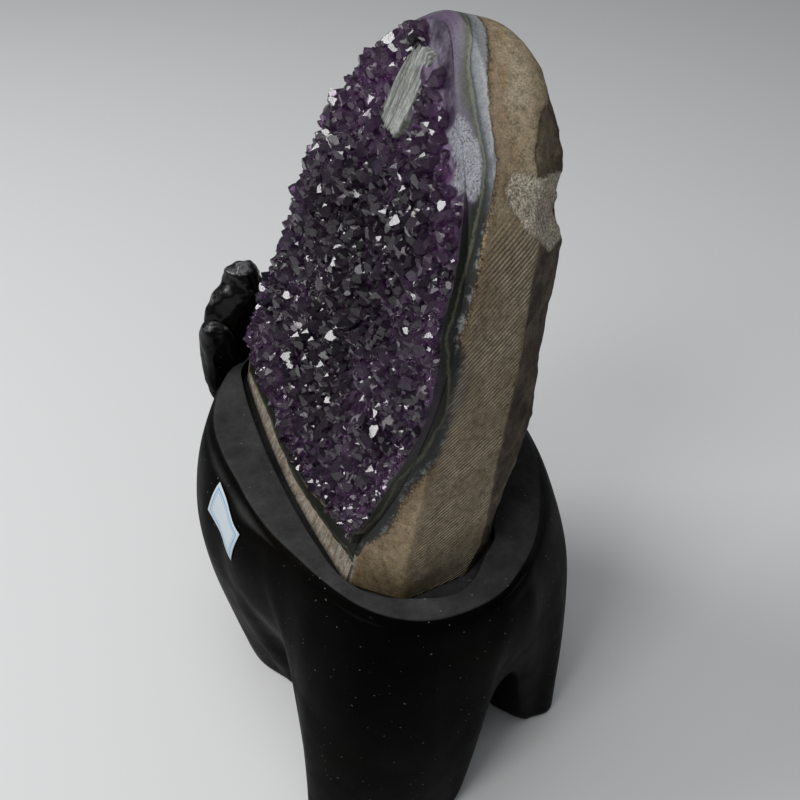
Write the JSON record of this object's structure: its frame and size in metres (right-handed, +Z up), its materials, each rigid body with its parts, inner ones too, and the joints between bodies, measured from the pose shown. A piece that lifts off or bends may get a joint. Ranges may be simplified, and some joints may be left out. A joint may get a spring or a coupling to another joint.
{
  "type": "amethyst cathedral geode on a carved wooden stand",
  "caption": "Sawn upright geode with a crust of amethyst crystals in an agate and basalt shell, resting in the seat of a carved black wooden stand.",
  "frame": {"origin": "on the surface that the stand's feet stand on, under the middle of the whole object's box", "axes": "+Z up, -Y the way the crystal face looks, +X along the stand's length, away from the carved stump"},
  "size_m": [0.3114, 0.247, 0.5196],
  "materials": {
    "basalt": "sawn and ground, matt, with a polished agate edge",
    "amethyst": "natural crystal faces, glossy and see-through",
    "black_wood": "black lacquer, satin, dusty on top",
    "paper": "white sticker with a plain blue border"
  },
  "bodies": {
    "root": {"geode_rock": "basalt", "amethyst_crust": "amethyst", "wood_stand": "black_wood", "paper_label": "paper"}
  },
  "joints": []
}
